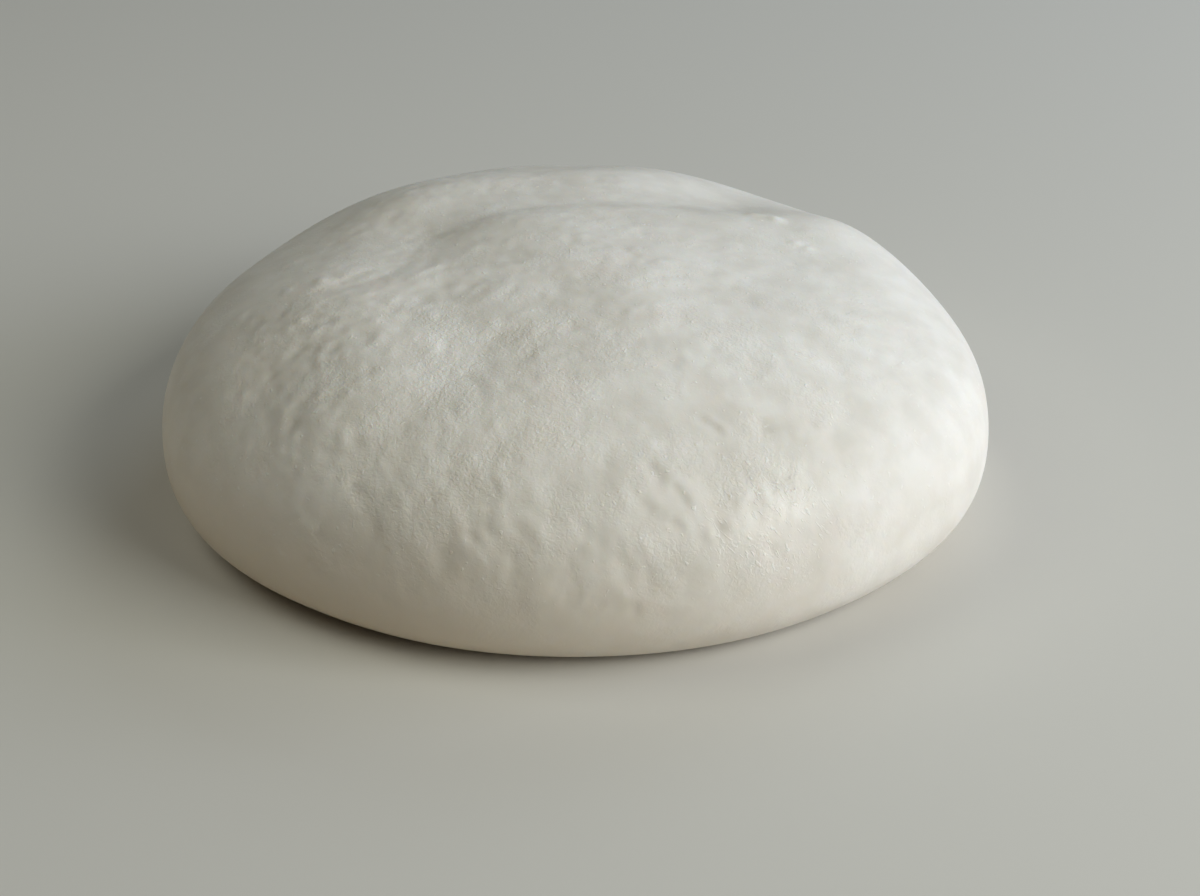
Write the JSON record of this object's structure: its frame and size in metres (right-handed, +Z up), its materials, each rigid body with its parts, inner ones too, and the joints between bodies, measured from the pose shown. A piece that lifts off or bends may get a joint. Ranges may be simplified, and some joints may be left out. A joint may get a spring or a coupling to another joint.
{
  "type": "proofed dough ball",
  "caption": "Low round dome of soft white proofed bread dough, smooth at the rim and finely wrinkled on the crown, with one long tuck across its back.",
  "frame": {"origin": "middle of the flat underside, under the middle of the box that holds the dough", "axes": "+Z up, +X to the right and +Y to the back as the dough was pictured"},
  "size_m": [0.203, 0.199, 0.061],
  "materials": {
    "dough": "soft satin skin of white wheat dough"
  },
  "bodies": {
    "root": {"dough_ball": "dough"}
  },
  "joints": []
}
